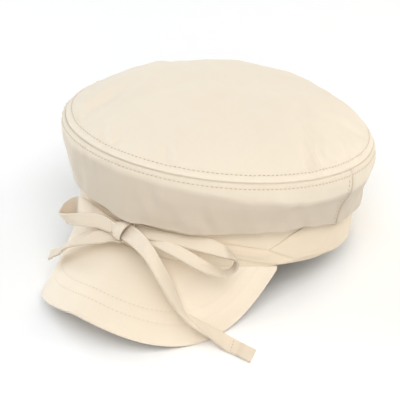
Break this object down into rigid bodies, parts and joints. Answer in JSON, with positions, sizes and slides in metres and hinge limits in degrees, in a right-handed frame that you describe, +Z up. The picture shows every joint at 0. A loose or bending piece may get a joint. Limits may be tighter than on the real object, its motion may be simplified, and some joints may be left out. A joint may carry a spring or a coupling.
{
  "type": "sailor cap",
  "caption": "Soft cotton sailor cap with a puffed round crown, a short curved peak and a thin tie knotted in a bow at the front of the band.",
  "frame": {"origin": "Middle of the bounding box, on the surface that the cap rests on.", "axes": "+Z up, -Y the way the peak points, +X the wearer's left. The cap rests on the back of its band and the two corners of its peak, so it is tipped back by about eleven degrees."},
  "size_m": [0.204, 0.2524, 0.1226],
  "materials": {
    "crown_top": "matte woven cotton",
    "crown_side_front": "matte woven cotton",
    "crown_side_back": "matte woven cotton",
    "band": "matte woven cotton",
    "sash": "matte woven cotton",
    "peak": "matte woven cotton over a board",
    "bow_knot": "matte woven cotton",
    "bow_loop_left": "matte woven cotton",
    "bow_loop_right": "matte woven cotton",
    "bow_tail_left": "matte woven cotton",
    "bow_tail_right": "matte woven cotton"
  },
  "bodies": {
    "root": {"crown_top": "crown_top", "crown_side_front": "crown_side_front", "crown_side_back": "crown_side_back", "band": "band", "sash": "sash", "peak": "peak", "bow_knot": "bow_knot", "bow_loop_left": "bow_loop_left", "bow_loop_right": "bow_loop_right", "bow_tail_left": "bow_tail_left", "bow_tail_right": "bow_tail_right"}
  },
  "joints": []
}
